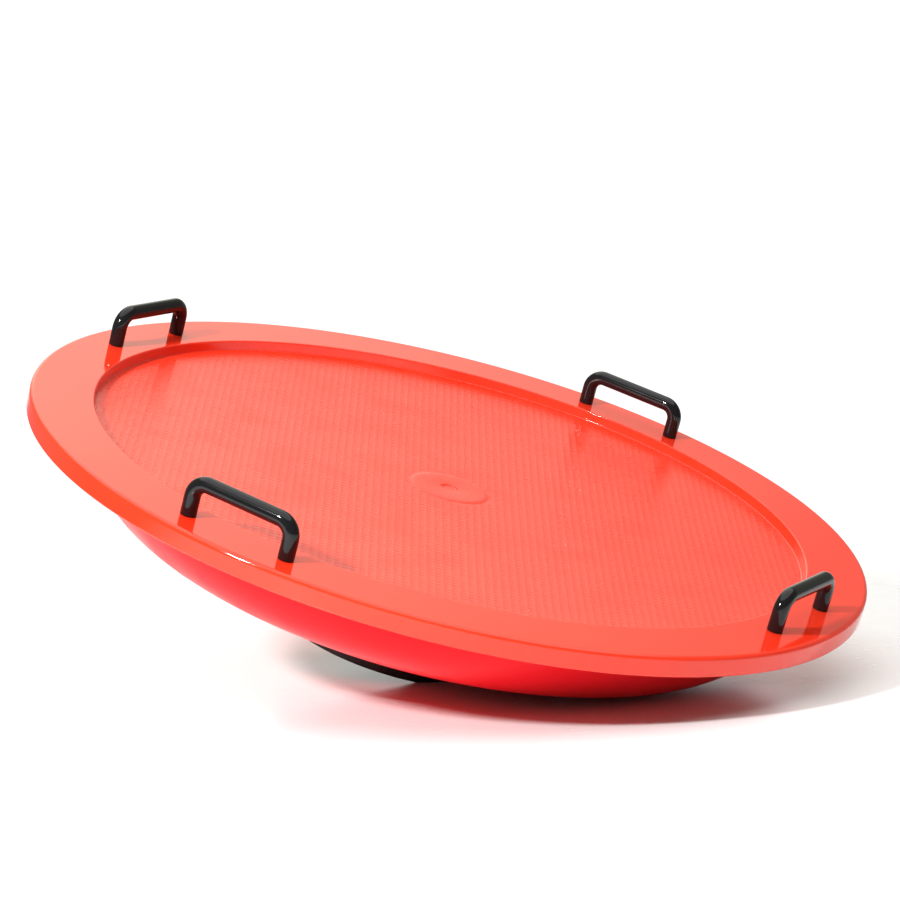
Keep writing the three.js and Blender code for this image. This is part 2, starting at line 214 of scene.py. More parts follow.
def clean(piece):
    """Merges the points that meet and turns every face outwards."""
    work = bmesh.new()
    work.from_mesh(piece.data)
    bmesh.ops.remove_doubles(work, verts=work.verts, dist=1e-7)
    bmesh.ops.dissolve_degenerate(work, edges=work.edges, dist=1e-7)
    bmesh.ops.recalc_face_normals(work, faces=work.faces)
    work.to_mesh(piece.data)
    work.free()
    return piece


def revolve(name, outline, segments=ROUND_SEGMENTS):
    """A body made by turning a closed outline of (radius, height) points about the Z axis."""
    count = len(outline)
    vertices = []
    for segment in range(segments):
        turn = math.tau * segment / segments
        vertices += [(r * math.cos(turn), r * math.sin(turn), z) for r, z in outline]
    faces = []
    for segment in range(segments):
        here = segment * count
        there = (segment + 1) % segments * count
        for point in range(count):
            after = (point + 1) % count
            faces.append((here + point, there + point, there + after, here + after))
    return clean(new_piece(name, vertices, faces))


def cylinder(radius, low, high, place=(0, 0), segments=SMALL_SEGMENTS):
    """An upright cutting tool."""
    piece = revolve("tool", [(0, low), (radius, low), (radius, high), (0, high)], segments)
    piece.location = (place[0], place[1], 0)
    return piece


def shade(piece):
    piece.data.shade_smooth()
    piece.data.set_sharp_from_angle(angle=math.radians(SHARP_DEGREES))
    return piece


def combine(piece, tools, operation="DIFFERENCE"):
    """Cuts, joins or intersects the piece with each tool, and removes the tools."""
    for tool in tools:
        step = piece.modifiers.new("combine", "BOOLEAN")
        step.solver = "MANIFOLD"
        step.operation = operation
        step.object = tool
    bpy.context.view_layer.update()
    evaluated = piece.evaluated_get(bpy.context.evaluated_depsgraph_get())
    result = bpy.data.meshes.new_from_object(evaluated)
    piece.modifiers.clear()
    piece.data = result
    for tool in tools:
        bpy.data.objects.remove(tool)
    return piece


def finish_piece(piece, material, slot, *nodes):
    """Shades the piece, gives it its material, and lets it stand for its CAD nodes on the one body."""
    shade(piece)
    piece.data.materials.clear()
    piece.data.materials.append(material)
    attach(piece, "root")
    if nodes:
        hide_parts(*nodes)
    return piece


# ---------------------------------------------------------------- materials
class Nodes:
    """A node tree with a short way to add a node, set it up and link its inputs."""

    def __init__(self, tree):
        self.tree = tree
        tree.nodes.clear()

    def add(self, kind, inputs, **settings):
        node = self.tree.nodes.new(kind)
        for name, value in settings.items():
            setattr(node, name, value)
        for name, value in inputs.items():
            if isinstance(value, bpy.types.NodeSocket):
                self.tree.links.new(value, node.inputs[name])
            else:
                node.inputs[name].default_value = value
        return node

    def math(self, operation, first, second=0.0):
        return self.add("ShaderNodeMath", {0: first, 1: second}, operation=operation).outputs[0]

    def noise(self, vector, scale, detail=2.0, roughness=0.5):
        inputs = {"Vector": vector, "Scale": scale, "Detail": detail, "Roughness": roughness}
        return self.add("ShaderNodeTexNoise", inputs).outputs["Fac"]

    def remap(self, value, low, high, new_low, new_high):
        inputs = {"Value": value, "From Min": low, "From Max": high, "To Min": new_low, "To Max": new_high}
        return self.add("ShaderNodeMapRange", inputs, interpolation_type="SMOOTHSTEP").outputs["Result"]

    def mix(self, share, first, second):
        inputs = {0: share, 6: first, 7: second}
        return self.add("ShaderNodeMix", inputs, data_type="RGBA").outputs[2]

    def mix_value(self, share, first, second):
        inputs = {0: share, 2: first, 3: second}
        return self.add("ShaderNodeMix", inputs, data_type="FLOAT").outputs[0]

    def stretch(self, vector, scale, turn=(0, 0, 0)):
        angles = tuple(math.radians(angle) for angle in turn)
        inputs = {"Vector": vector, "Rotation": angles, "Scale": scale}
        return self.add("ShaderNodeMapping", inputs).outputs[0]


def new_material(name):
    material = bpy.data.materials.new(name)
    material.use_nodes = True
    nodes = Nodes(material.node_tree)
    place = nodes.add("ShaderNodeTexCoord", {}).outputs["Object"]
    return material, nodes, place


def scuffs(nodes, place, amount):
    """A mask of thin hand-made scratches in two directions, gathered in patches."""
    patches = nodes.remap(nodes.noise(place, 7.0, 3.0), 0.52, 0.72, 0.0, 1.0)
    masks = []
    for turn in (24, -52):
        streaks = nodes.noise(nodes.stretch(place, (14, 520, 60), (0, 0, turn)), 1.0, 2.0)
        masks.append(nodes.remap(streaks, 0.66, 0.74, 0.0, 1.0))
    both = nodes.math("MAXIMUM", masks[0], masks[1])
    return nodes.math("MULTIPLY", nodes.math("MULTIPLY", both, patches), amount)


def plastic(name, colour, worn_colour, roughness, specular, grain, scuff_amount):
    """Moulded plastic: a slow drift in shade, an orange-peel surface, and paler, rougher scuffs."""
    material, nodes, place = new_material(name)
    drift = nodes.noise(place, 4.0, 3.0)
    worn = scuffs(nodes, place, scuff_amount)
    shade_colour = nodes.mix(nodes.remap(drift, 0.3, 0.7, 0.0, 0.12), colour, worn_colour)
    final_colour = nodes.mix(worn, shade_colour, worn_colour)
    haze = nodes.remap(nodes.noise(place, 18.0, 4.0), 0.35, 0.75, 0.0, 0.35 * roughness)
    final_roughness = nodes.math("ADD", nodes.math("ADD", haze, roughness), nodes.math("MULTIPLY", worn, 0.3))
    peel = nodes.noise(place, 260.0, 2.0)
    bump = nodes.add("ShaderNodeBump", {"Height": peel, "Strength": grain, "Distance": 0.1 * MM})
    shader = nodes.add("ShaderNodeBsdfPrincipled", {
        "Base Color": final_colour,
        "Roughness": final_roughness,
        "Specular IOR Level": specular,
        "Normal": bump.outputs[0],
    })
    nodes.add("ShaderNodeOutputMaterial", {"Surface": shader.outputs[0]})
    return material


def rubber(name):
    """Matt black rubber with a fine grain and grey dust in its hollows."""
    material, nodes, place = new_material(name)
    dust = nodes.remap(nodes.noise(place, 30.0, 5.0), 0.45, 0.8, 0.0, 0.5)
    colour = nodes.mix(dust, (0.012, 0.012, 0.012, 1), (0.05, 0.048, 0.046, 1))
    grain = nodes.noise(place, 900.0, 2.0)
    bump = nodes.add("ShaderNodeBump", {"Height": grain, "Strength": 0.5, "Distance": 0.15 * MM})
    shader = nodes.add("ShaderNodeBsdfPrincipled", {
        "Base Color": colour,
        "Roughness": nodes.remap(dust, 0.0, 0.5, 0.6, 0.85),
        "Specular IOR Level": 0.35,
        "Normal": bump.outputs[0],
    })
    nodes.add("ShaderNodeOutputMaterial", {"Surface": shader.outputs[0]})
    return material


def zinc(name):
    """Zinc-plated steel: a mottled crystal sheen with fine turning marks."""
    material, nodes, place = new_material(name)
    cells = nodes.add("ShaderNodeTexVoronoi", {"Vector": place, "Scale": 700.0}).outputs["Distance"]
    spangle = nodes.noise(place, 120.0, 4.0)
    colour = nodes.mix(spangle, (0.42, 0.43, 0.45, 1), (0.72, 0.72, 0.7, 1))
    roughness = nodes.math("ADD", nodes.math("MULTIPLY", cells, 0.25), 0.22)
    marks = nodes.noise(nodes.stretch(place, (1, 1, 40)), 90.0, 2.0)
    bump = nodes.add("ShaderNodeBump", {"Height": marks, "Strength": 0.2, "Distance": 0.05 * MM})
    shader = nodes.add("ShaderNodeBsdfPrincipled", {
        "Base Color": colour,
        "Metallic": 1.0,
        "Roughness": roughness,
        "Normal": bump.outputs[0],
    })
    nodes.add("ShaderNodeOutputMaterial", {"Surface": shader.outputs[0]})
    return material


RED = (0.90, 0.030, 0.008, 1)
WORN_RED = (0.95, 0.11, 0.06, 1)
BOWL_RED = (0.90, 0.008, 0.016, 1)
WORN_BOWL_RED = (0.95, 0.06, 0.07, 1)
BLACK = (0.005, 0.005, 0.0055, 1)
WORN_BLACK = (0.03, 0.03, 0.032, 1)
GREY = (0.07, 0.07, 0.075, 1)
WORN_GREY = (0.16, 0.16, 0.16, 1)

# name, colour, worn colour, roughness, specular, grain, scuffs
rim_red = plastic("rim_red", RED, WORN_RED, 0.06, 0.5, 0.02, 0.25)
panel_red = plastic("panel_red", RED, WORN_RED, 0.24, 0.5, 0.15, 0.15)
bowl_red = plastic("bowl_red", BOWL_RED, WORN_BOWL_RED, 0.28, 0.14, 0.05, 0.1)
handle_black = plastic("handle_black", BLACK, WORN_BLACK, 0.08, 0.35, 0.03, 0.3)
inner_grey = plastic("inner_grey", GREY, WORN_GREY, 0.5, 0.5, 0.4, 0.2)
foot_rubber = rubber("foot_rubber")
zinc_steel = zinc("zinc_steel")


# ---------------------------------------------------------------- deck
def make_rim():
    """The rim: a flat face with a rounded outer edge, an upright lip, and a recess that carries the panel."""
    recess_foot = PANEL_RADIUS + FIT_GAP
    recess_top = recess_foot + RECESS_WIDTH
    ledge = recess_foot - LEDGE_WIDTH
    ledge_top = panel_height(ledge) - PANEL_THICKNESS - FIT_GAP
    outline = rounded([
        (BOARD_RADIUS - WALL, LIP_FOOT, 1.0 * MM),
        (BOARD_RADIUS, LIP_FOOT, LIP_FOOT_ROUND),
        (BOARD_RADIUS, RIM_TOP, EDGE_ROUND),
        (recess_top, RIM_TOP, RECESS_ROUND),
        (recess_foot + 1.5 * MM, PANEL_EDGE_TOP, 1.5 * MM),
        (recess_foot, PANEL_EDGE_TOP, 0),
        (recess_foot, ledge_top, 0),
        (ledge, ledge_top, 0),
        (ledge, ledge_top - WALL, 0.8 * MM),
        (recess_foot + WALL, ledge_top - WALL, 2 * MM),
        (recess_top + WALL, RIM_TOP - WALL, 2 * MM),
        (BOARD_RADIUS - WALL, RIM_TOP - WALL, EDGE_ROUND - WALL),
    ], steps=10)
    rim = revolve("rim_moulding", outline)
    holes = [screw_hole(f"handle_screw_{leg}", LIP_FOOT, RIM_TOP + WALL) for leg in LEGS]
    holes += [screw_hole(f"rim_screw_{n}", LIP_FOOT, top_of(f"rim_screw_{n}") + FIT_GAP) for n in RIM_SCREWS]
    combine(rim, holes)
    return finish_piece(rim, rim_red, "red_plastic", "deck_rim")


def screw_hole(node, low, high):
    centre = middle_of(node)
    return cylinder(SCREW_HOLE_RADIUS, low, high, (centre.x, centre.y), 16)


def grid_lines(reach):
    """Positions across one family of ridges, each with True where it lies on a ridge's top."""
    lines = []
    for ridge in range(-math.ceil(reach / GRID_PITCH), math.ceil(reach / GRID_PITCH) + 1):
        centre = ridge * GRID_PITCH
        lines += [
            (centre - RIDGE_FOOT / 2, False),
            (centre - RIDGE_TOP / 2, True),
            (centre + RIDGE_TOP / 2, True),
            (centre + RIDGE_FOOT / 2, False),
        ]
    return lines


def grid_block():
    """A square block whose top is the panel's dish with its grid of crossed ridges."""
    lines = grid_lines(PANEL_RADIUS)
    side = len(lines)
    base = PANEL_UNDERSIDE - 5 * MM
    turn = math.radians(GRID_DEGREES)
    vertices = []
    for across, on_ridge in lines:
        for along, on_crossing in lines:
            radius = math.hypot(across, along)
            inside = GRID_INNER < radius < PANEL_RADIUS - GRID_MARGIN
            rise = RIDGE_HEIGHT if inside and (on_ridge or on_crossing) else 0
            x = across * math.cos(turn) - along * math.sin(turn)
            y = across * math.sin(turn) + along * math.cos(turn)
            vertices.append((x, y, panel_height(radius) + rise))
    faces = []
    for row in range(side - 1):
        for column in range(side - 1):
            corner = row * side + column
            faces.append((corner, corner + side, corner + side + 1, corner + 1))
    edge = list(range(side))
    edge += [row * side + side - 1 for row in range(1, side)]
    edge += [(side - 1) * side + column for column in range(side - 2, -1, -1)]
    edge += [row * side for row in range(side - 2, 0, -1)]
    first = len(vertices)
    vertices += [(vertices[index][0], vertices[index][1], base) for index in edge]
    for step in range(len(edge)):
        after = (step + 1) % len(edge)
        faces.append((edge[step], edge[after], first + after, first + step))
    faces.append(tuple(range(first, first + len(edge))))
    return clean(new_piece("tool", vertices, faces))


def make_panel():
    """The dished panel: a fine grid of ridges round a smooth raised hub with a pocket for the plug."""
    radii = [HUB_BOSS_RADIUS + (PANEL_RADIUS - HUB_BOSS_RADIUS) * step / 24 for step in range(25)]
    underside = [(radius, panel_height(radius) - PANEL_THICKNESS) for radius in radii]
    outline = [(BOLT_RADIUS + FIT_GAP, PANEL_UNDERSIDE), (HUB_BOSS_RADIUS, PANEL_UNDERSIDE)]
    outline += underside
    outline += [(PANEL_RADIUS, RIM_TOP), (BOLT_RADIUS + FIT_GAP, RIM_TOP)]
    panel = revolve("panel_moulding", outline)
    combine(panel, [grid_block()], "INTERSECT")
    hub = revolve("tool", rounded([
        (BOLT_RADIUS + FIT_GAP, PANEL_UNDERSIDE + WALL, 0),
        (HUB_BOSS_RADIUS - WALL, PANEL_UNDERSIDE + WALL, 0),
        (HUB_RADIUS + HUB_SLOPE, panel_height(HUB_RADIUS) - HUB_RISE, 0),
        (HUB_RADIUS - HUB_SLOPE, HUB_TOP, 30 * MM),
        (BOLT_RADIUS + FIT_GAP, HUB_TOP, 0),
    ]))
    combine(panel, [hub], "UNION")
    pocket = revolve("tool", rounded([
        (0, foot_of("centre_bolt"), 0),
        (BOLT_RADIUS + FIT_GAP, foot_of("centre_bolt"), 0),
        (BOLT_RADIUS + FIT_GAP, top_of("centre_bolt") - 4.3 * MM, 0),
        (PLUG_RADIUS + FIT_GAP, top_of("centre_bolt") - 4.3 * MM, 0),
        (PLUG_RADIUS + FIT_GAP, HUB_TOP, 0.5 * MM),
        (PLUG_RADIUS + 2 * MM, HUB_TOP, 0),
        (PLUG_RADIUS + 2 * MM, RIM_TOP, 0),
        (0, RIM_TOP, 0),
    ]), 96)
    combine(panel, [pocket])
    return finish_piece(panel, panel_red, "red_textured_plastic", "deck_panel")


def make_plug():
    """The cap over the centre bolt, with a shallow dish in its top."""
    top = top_of("hub_plug")
    foot = foot_of("hub_plug")
    outline = rounded([
        (0, foot, 0),
        (PLUG_RADIUS, foot, 0.4 * MM),
        (PLUG_RADIUS, top, 0.4 * MM),
        (PLUG_RADIUS - 1.5 * MM, top, 0.3 * MM),
        (PLUG_RADIUS - 3 * MM, top - PLUG_DISH, 0.5 * MM),
        (0, top - PLUG_DISH, 0),
    ])
    plug = revolve("plug_moulding", outline, 96)
    return finish_piece(plug, panel_red, "red_plastic", "hub_plug")


# ---------------------------------------------------------------- bowl
def make_bowl():
    """The rocking bowl: a spherical cap, a knuckle that turns upright, and a turned-out edge."""
    knuckle_radius = BOWL_RADIUS - BOWL_KNUCKLE_RADIUS
    reach = BOWL_CAP_RADIUS - BOWL_KNUCKLE_RADIUS
    knuckle = Vector((knuckle_radius, CAP_CENTRE - math.sqrt(reach**2 - knuckle_radius**2)))
    join = math.asin(knuckle_radius / reach)
    hole = BOLT_RADIUS + FIT_GAP
    bead_foot = BOWL_TOP - WALL

    def surface(inward):
        """Points from the centre hole out to the top of the knuckle."""
        first = math.asin(hole / (BOWL_CAP_RADIUS - inward))
        turns = [first + (join - first) * step / 30 for step in range(30)]
        size = BOWL_CAP_RADIUS - inward
        points = [(size * math.sin(turn), CAP_CENTRE - size * math.cos(turn)) for turn in turns]
        small = BOWL_KNUCKLE_RADIUS - inward
        turns = [join - math.pi / 2 + (math.pi / 2 - join) * step / 24 for step in range(25)]
        for turn in turns:
            points.append((knuckle.x + small * math.cos(turn), knuckle.y + small * math.sin(turn)))
        return points

    outer = surface(0.0) + [
        (BOWL_RADIUS, bead_foot),
        (BOWL_RADIUS + BOWL_BEAD - 0.5 * MM, bead_foot),
        (BOWL_RADIUS + BOWL_BEAD, bead_foot + 0.5 * MM),
        (BOWL_RADIUS + BOWL_BEAD, BOWL_TOP - 0.5 * MM),
        (BOWL_RADIUS + BOWL_BEAD - 0.5 * MM, BOWL_TOP),
        (BOWL_RADIUS - WALL, BOWL_TOP),
    ]
    bowl = revolve("bowl_moulding", outer + surface(WALL)[::-1])
    combine(bowl, [screw_hole(f"foot_screw_{n}", 0, FOOT_HOLE_TOP) for n in FOOT_SCREWS])
    return finish_piece(bowl, bowl_red, "red_bowl_plastic", "bowl_shell")


def make_clamp():
    """The rabbeted ring that traps the bowl's turned-out edge under the rim."""
    inner = BOWL_RADIUS + 2 * FIT_GAP
    outer = radius_of("clamp_ring")
    step_radius = inner + BOWL_BEAD
    low = foot_of("clamp_ring")
    step_height = BOWL_TOP - WALL - FIT_GAP
    clamp = revolve("clamp_moulding", rounded([
        (inner, low, 0.8 * MM),
        (outer, low, 1.2 * MM),
        (outer, BOWL_TOP, 0.5 * MM),
        (step_radius, BOWL_TOP, 0),
        (step_radius, step_height, 0),
        (inner, step_height, 0),
    ]))
    holes = [screw_hole(f"handle_screw_{leg}", low - WALL, RIM_TOP) for leg in LEGS]
    holes += [screw_hole(f"rim_screw_{n}", low - WALL, RIM_TOP) for n in RIM_SCREWS]
    combine(clamp, holes)
    return finish_piece(clamp, inner_grey, "grey_plastic", "clamp_ring")


# ---------------------------------------------------------------- foot
def make_foot():
    """The rubber foot: its flat tread has ring grooves, and pockets hide the bolt's nut and the screws."""
    radii = []
    for step in range(21):
        share = step / 20
        radii.append(FOOT_RADIUS + FOOT_TAPER * (1 - share) - (FOOT_RADIUS - BOLT_RADIUS) * step / 20)
    hole = BOLT_RADIUS + FIT_GAP
    radii[-1] = hole
    top = [(radius, cap_height(radius) - 2 * FIT_GAP, 0) for radius in radii]
    top[0] = (top[0][0], top[0][1], 0.8 * MM)
    foot = revolve("foot_moulding", rounded([
        (FOOT_POCKET_RADIUS, 0, 1.0 * MM),
        (FOOT_RADIUS, 0, 1.6 * MM),
        *top,
        (hole, FOOT_POCKET_TOP, 0),
        (FOOT_POCKET_RADIUS, FOOT_POCKET_TOP, 1.0 * MM),
    ]))
    grooves = [revolve("tool", groove_outline(radius)) for radius in TREAD_RADII]
    pockets = []
    for number in FOOT_SCREWS:
        centre = middle_of(f"foot_screw_{number}")
        pocket_top = foot_of(f"foot_screw_{number}") + 4 * MM + FIT_GAP
        pockets.append(cylinder(SCREW_POCKET_RADIUS, -WALL, pocket_top, (centre.x, centre.y)))
        pockets.append(screw_hole(f"foot_screw_{number}", 0, FOOT_HOLE_TOP))
    combine(foot, grooves + pockets)
    return finish_piece(foot, foot_rubber, "black_rubber", "foot_pad")


def groove_outline(radius):
    """A shallow groove with sloped sides in the foot's tread."""
    half = TREAD_WIDTH / 2
    return [
        (radius - half - TREAD_DEPTH / 2, -TREAD_DEPTH),
        (radius + half + TREAD_DEPTH / 2, -TREAD_DEPTH),
        (radius + half, TREAD_DEPTH),
        (radius - half, TREAD_DEPTH),
    ]


# ---------------------------------------------------------------- handles
def handle_line(half_spacing, low, grip):
    """The bar's centreline as (across, height, turn): up a leg, round a bend, over the grip and down."""
    bend_steps = 16
    bend = HANDLE_BEND_RADIUS
    points = [(-half_spacing, low + (grip - bend - low) * step / 6, math.pi / 2) for step in range(6)]
    for step in range(bend_steps + 1):
        turn = math.pi / 2 * (1 - step / bend_steps)
        across = -half_spacing + bend * (1 - math.sin(turn))
        points.append((across, grip - bend + bend * math.cos(turn), turn))
    middle = [(0, grip, 0)]
    return points + middle + [(-across, height, -turn) for across, height, turn in reversed(points)]


def make_handle(name):
    """A round bar handle. It is made facing front and then turned to its place on the rim."""
    low = foot_of("handle_front")
    bar_low, bar_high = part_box("handle_front")
    bar_radius = (bar_high.y - bar_low.y) / 2
    circle = -(bar_high.y + bar_low.y) / 2
    chamfer = 0.6 * MM
    half_spacing = middle_of("handle_screw_front_b").x
    line = handle_line(half_spacing, low, bar_high.z - bar_radius)
    rings = [(*line[0], bar_radius - chamfer)]
    rings.append((line[0][0], line[0][1] + chamfer, line[0][2], bar_radius))
    rings += [(*step, bar_radius) for step in line[1:-1]]
    rings.append((line[-1][0], line[-1][1] + chamfer, line[-1][2], bar_radius))
    rings.append((*line[-1], bar_radius - chamfer))
    turn = math.radians(90 * HANDLES.index(name))
    vertices = []
    for across, height, lean, radius in rings:
        for side in range(SMALL_SEGMENTS):
            angle = math.tau * side / SMALL_SEGMENTS
            outward = radius * math.cos(angle)
            x = across - outward * math.sin(lean)
            y = -circle + radius * math.sin(angle)
            z = height + outward * math.cos(lean)
            turned_x = x * math.cos(turn) - y * math.sin(turn)
            turned_y = x * math.sin(turn) + y * math.cos(turn)
            vertices.append((turned_x, turned_y, z))
    faces = [tuple(range(SMALL_SEGMENTS))]
    for ring in range(len(rings) - 1):
        for side in range(SMALL_SEGMENTS):
            after = (side + 1) % SMALL_SEGMENTS
            here = ring * SMALL_SEGMENTS
            there = here + SMALL_SEGMENTS
            faces.append((here + side, there + side, there + after, here + after))
    faces.append(tuple(range(len(vertices) - SMALL_SEGMENTS, len(vertices))))
    handle = clean(new_piece(f"{name}_bar_handle", vertices, faces))
    tip = top_of("handle_screw_front_a") + 2 * MM
    combine(handle, [screw_hole(f"handle_screw_{name}_{side}", low - WALL, tip) for side in "ab"])
    return finish_piece(handle, handle_black, "black_plastic", f"handle_{name}")


# ---------------------------------------------------------------- fasteners
def cross_recess(size, low, depth):
    """The cross-shaped drive in a screw's head, cut upwards from its lowest face."""
    width = size / 6
    tools = []
    for long_x, long_y in ((size / 2, width), (width, size / 2)):
        corners = [(-1, -1), (1, -1), (1, 1), (-1, 1)]
        vertices = [(x * long_x, y * long_y, low - depth) for x, y in corners]
        vertices += [(x * long_x * 0.45, y * long_y * 0.45, low + depth) for x, y in corners]
        faces = [(0, 3, 2, 1), (4, 5, 6, 7), (0, 1, 5, 4), (1, 2, 6, 5), (2, 3, 7, 6), (3, 0, 4, 7)]
        tools.append(new_piece("tool", vertices, faces))
    return tools


def screw_mesh(node, head_height):
    """A domed screw that points up, with its head at the bottom, made on the axis at its own height."""
    low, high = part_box(node)
    head_radius = (high.x - low.x) / 2
    head_top = low.z + head_height
    dome = [
        (head_radius * math.sin(turn), low.z + head_height * 0.75 * (1 - math.cos(turn)))
        for turn in (math.radians(angle) for angle in range(0, 91, 10))
    ]
    outline = dome + [
        (head_radius, head_top),
        (SCREW_RADIUS, head_top),
        (SCREW_RADIUS, high.z - SCREW_RADIUS),
        (SCREW_RADIUS / 4, high.z),
        (0, high.z),
    ]
    screw = revolve("screw_pattern", outline, SMALL_SEGMENTS)
    combine(screw, cross_recess(head_radius * 1.1, low.z, 1.8 * MM))
    mesh = shade(screw).data
    bpy.data.objects.remove(screw)
    return mesh


def place_copy(name, mesh, node, material, slot):
    """Puts a copy of a pattern made on the axis at its node's place."""
    copy = bpy.data.objects.new(name, mesh.copy())
    bpy.context.scene.collection.objects.link(copy)
    centre = middle_of(node)
    for vertex in copy.data.vertices:
        vertex.co.x += centre.x
        vertex.co.y += centre.y
    return finish_piece(copy, material, slot, node)


def make_screws():
    handle_screw = screw_mesh("handle_screw_front_a", 3.5 * MM)
    for leg in LEGS:
        place_copy(f"{leg}_screw", handle_screw, f"handle_screw_{leg}", zinc_steel, "zinc_steel")
    rim_screw = screw_mesh("rim_screw_1", 3.5 * MM)
    for number in RIM_SCREWS:
        place_copy(f"clamp_screw_{number}", rim_screw, f"rim_screw_{number}", zinc_steel, "zinc_steel")
    foot_screw = screw_mesh("foot_screw_1", 4 * MM)
    for number in FOOT_SCREWS:
        place_copy(f"tread_screw_{number}", foot_screw, f"foot_screw_{number}", zinc_steel, "zinc_steel")


def washer_outline(hole, node):
    low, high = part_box(node)
    radius = (high.x - low.x) / 2
    edge = 0.25 * MM
    return rounded([
        (hole, low.z, 0), (radius, low.z, edge), (radius, high.z, edge), (hole, high.z, 0),
    ], steps=3)


def make_washers():
    outline = washer_outline(SCREW_HOLE_RADIUS, "handle_washer_front_a")
    pattern = revolve("washer_pattern", outline, SMALL_SEGMENTS)
    mesh = shade(pattern).data
    bpy.data.objects.remove(pattern)
    for leg in LEGS:
        place_copy(f"{leg}_washer", mesh, f"handle_washer_{leg}", zinc_steel, "zinc_steel")
    large = revolve("large_washer", washer_outline(BOLT_RADIUS + FIT_GAP, "foot_washer"), 96)
    finish_piece(large, zinc_steel, "zinc_steel", "foot_washer")


def hex_prism(name, radius, low, high, chamfer):
    """A six-sided prism whose two end faces are chamfered round, as on a nut or a bolt's head."""
    height = high - low
    prism = revolve(name, [(0, low), (radius, low), (radius, high), (0, high)], 6)
    cone = revolve("tool", [
        (0, low),
        (radius - chamfer, low),
        (radius + chamfer, low + chamfer),
        (radius + chamfer, low + height - chamfer),
        (radius - chamfer, high),
        (0, high),
    ], SMALL_SEGMENTS)
    return combine(prism, [cone], "INTERSECT")


def make_bolt_and_nut():
    low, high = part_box("foot_nut")
    nut = hex_prism("bolt_nut", (high.y - low.y) / 2, low.z, high.z, 1.2 * MM)
    nut.data.transform(Quaternion((0, 0, 1), math.pi / 2).to_matrix().to_4x4())
    combine(nut, [cylinder(BOLT_RADIUS + FIT_GAP, low.z - WALL, high.z + WALL)])
    finish_piece(nut, zinc_steel, "zinc_steel", "foot_nut")
    low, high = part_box("centre_bolt")
    bolt = hex_prism("through_bolt", (high.y - low.y) / 2, high.z - 4 * MM, high.z, 1.2 * MM)
    bolt.data.transform(Quaternion((0, 0, 1), math.pi / 2).to_matrix().to_4x4())
    shank = revolve("tool", rounded([
        (0, low.z, 0),
        (BOLT_RADIUS, low.z, 0.7 * MM),
        (BOLT_RADIUS, high.z - 1 * MM, 0),
        (0, high.z - 1 * MM, 0),
    ]), SMALL_SEGMENTS)
    combine(bolt, [shank], "UNION")
    finish_piece(bolt, zinc_steel, "zinc_steel", "centre_bolt")


def dress_inner_nodes():
    """The CAD nodes inside the bowl stay as they are, with a finished material."""
    for name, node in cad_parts.items():
        if name in ("centre_post", "support_ring"):
            node.data.materials.clear()
            node.data.materials.append(inner_grey)
        if name.startswith("foot_screw_nut"):
            node.data.materials.clear()
            node.data.materials.append(zinc_steel)


# ---------------------------------------------------------------- camera
def make_camera():
    azimuth = math.radians(CAMERA_AZIMUTH)
    elevation = math.radians(CAMERA_ELEVATION)
    back = Vector((
        math.sin(azimuth) * math.cos(elevation),
        -math.cos(azimuth) * math.cos(elevation),
        math.sin(elevation),
    ))
    data = bpy.data.cameras.new("camera")
    data.lens = CAMERA_LENS
    camera = bpy.data.objects.new("camera", data)
    bpy.context.scene.collection.objects.link(camera)
    camera.location = CAMERA_AIM + back * CAMERA_DISTANCE
    camera.rotation_mode = "QUATERNION"
    roll = Quaternion((0, 0, 1), math.radians(CAMERA_ROLL))
    camera.rotation_quaternion = (-back).to_track_quat("-Z", "Y") @ roll
    bpy.context.scene.camera = camera
    return camera


# ---------------------------------------------------------------- floor and light
def floor_axes(camera):
    """Right, away and up of the floor on which the board leans, as seen by the camera."""
    turn = camera.rotation_quaternion
    right = turn @ Vector((1, 0, 0))
    camera_up = turn @ Vector((0, 1, 0))
    forward = turn @ Vector((0, 0, -1))
    pitch = math.radians(FLOOR_PITCH)
    up = camera_up * math.cos(pitch) - forward * math.sin(pitch)
    return right, up.cross(right), up


def floor_material():
    """Glossy white studio floor that fades out towards its edge. Its underside is clear, so that it doesn't
    hide the board from below."""
    material, nodes, place = new_material("studio_floor")
    distance = nodes.add("ShaderNodeVectorMath", {0: place}, operation="LENGTH").outputs["Value"]
    fade = nodes.remap(distance, FLOOR_FADE_START * FLOOR_RADIUS, FLOOR_FADE_END * FLOOR_RADIUS, 0.0, 1.0)
    below = nodes.add("ShaderNodeNewGeometry", {}).outputs["Backfacing"]
    clear = nodes.math("MAXIMUM", fade, below)
    smudges = nodes.remap(nodes.noise(place, 5.0, 3.0), 0.3, 0.7, FLOOR_SMOOTHEST, FLOOR_ROUGHEST)
    surface = nodes.add("ShaderNodeBsdfPrincipled", {
        "Base Color": FLOOR_WHITE,
        "Roughness": smudges,
        "Specular IOR Level": FLOOR_SPECULAR,
    })
    nothing = nodes.add("ShaderNodeBsdfTransparent", {})
    mixed = nodes.add("ShaderNodeMixShader", {0: clear, 1: surface.outputs[0], 2: nothing.outputs[0]})
    nodes.add("ShaderNodeOutputMaterial", {"Surface": mixed.outputs[0]})
    return material


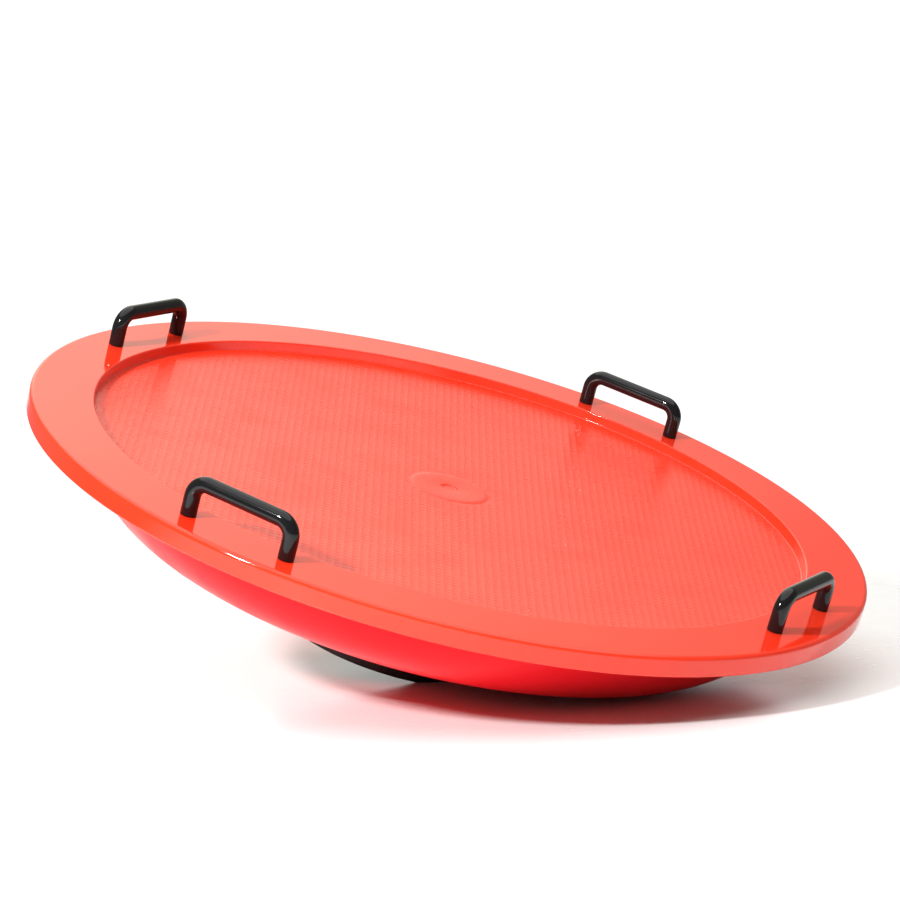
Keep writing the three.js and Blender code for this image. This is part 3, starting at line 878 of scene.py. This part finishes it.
def make_floor(up):
    """The tilted floor touches the bowl's rocking surface. It also cuts through the far side of the foot."""
    touch = Vector((0, 0, CAP_CENTRE)) - up * BOWL_CAP_RADIUS
    rings = [FLOOR_RADIUS * step / FLOOR_RINGS for step in range(1, FLOOR_RINGS + 1)]
    sides = FLOOR_SIDES
    vertices = [(0, 0, 0)]
    for radius in rings:
        turns = [math.tau * side / sides for side in range(sides)]
        vertices += [(radius * math.cos(turn), radius * math.sin(turn), 0) for turn in turns]
    faces = [(0, 1 + side, 1 + (side + 1) % sides) for side in range(sides)]
    for ring in range(len(rings) - 1):
        for side in range(sides):
            after = (side + 1) % sides
            here = 1 + ring * sides
            there = here + sides
            faces.append((here + side, there + side, there + after, here + after))
    floor = new_piece("studio_floor", vertices, faces)
    floor.rotation_mode = "QUATERNION"
    floor.rotation_quaternion = up.to_track_quat("Z", "Y")
    floor.location = touch
    floor.data.materials.append(floor_material())


def make_light(name, target, direction, distance, size, power):
    data = bpy.data.lights.new(name, "AREA")
    data.shape = "DISK"
    data.size = size
    data.energy = power
    light = bpy.data.objects.new(name, data)
    bpy.context.scene.collection.objects.link(light)
    light.location = target + direction.normalized() * distance
    light.rotation_mode = "QUATERNION"
    light.rotation_quaternion = (-direction).to_track_quat("-Z", "Y")


def make_world(right, away, up):
    """A dim studio with a wide soft box overhead and a wall behind the board that is brightest at its left."""
    world = bpy.data.worlds.new("studio")
    bpy.context.scene.world = world
    world.use_nodes = True
    nodes = Nodes(world.node_tree)
    direction = nodes.add("ShaderNodeTexCoord", {}).outputs["Generated"]

    def along(axis):
        product = nodes.add("ShaderNodeVectorMath", {0: direction, 1: axis}, operation="DOT_PRODUCT")
        return product.outputs["Value"]

    height = along(up)
    across = along(right)
    wall = nodes.remap(across, -0.1, 0.36, WALL_BRIGHT, WALL_DIM)
    glow = nodes.remap(nodes.math("ABSOLUTE", across), 0.18, 0.4, GLOW_BRIGHT, WALL_DIM)
    horizon = nodes.remap(height, 0.12, 0.3, 1.0, 0.0)
    low_wall = nodes.mix_value(horizon, wall, glow)
    behind = nodes.remap(along(away), 0.15, 0.6, 0.0, 1.0)
    left_end = nodes.remap(across, -0.55, -0.25, 0.0, 1.0)
    lit = nodes.math("MULTIPLY", behind, left_end)
    side_wall = nodes.mix_value(lit, SIDES_DIM, low_wall)
    soft_box = nodes.remap(height, 0.7, 0.8, 0.0, 1.0)
    level = nodes.mix_value(soft_box, side_wall, SOFT_BOX)
    neutral = nodes.math("MAXIMUM", horizon, soft_box)
    warmth = nodes.mix(neutral, WARM_LIGHT, NEUTRAL_LIGHT)
    background = nodes.add("ShaderNodeBackground", {"Color": warmth, "Strength": level})
    nodes.add("ShaderNodeOutputWorld", {"Surface": background.outputs[0]})


def make_studio():
    camera = make_camera()
    right, away, up = floor_axes(camera)
    make_floor(up)
    make_world(right, away, up)
    target = Vector((0, 0, RIM_TOP))
    towards_key = up * KEY_UP - right * KEY_LEFT - away * KEY_NEAR
    make_light("key_light", target, towards_key, KEY_DISTANCE, KEY_SIZE, KEY_POWER)
    bpy.context.scene.view_settings.view_transform = "Standard"


# ---------------------------------------------------------------- the whole board
make_studio()
make_rim()
make_panel()
make_plug()
make_bowl()
make_clamp()
make_foot()
for handle_name in HANDLES:
    make_handle(handle_name)
make_screws()
make_washers()
make_bolt_and_nut()
dress_inner_nodes()
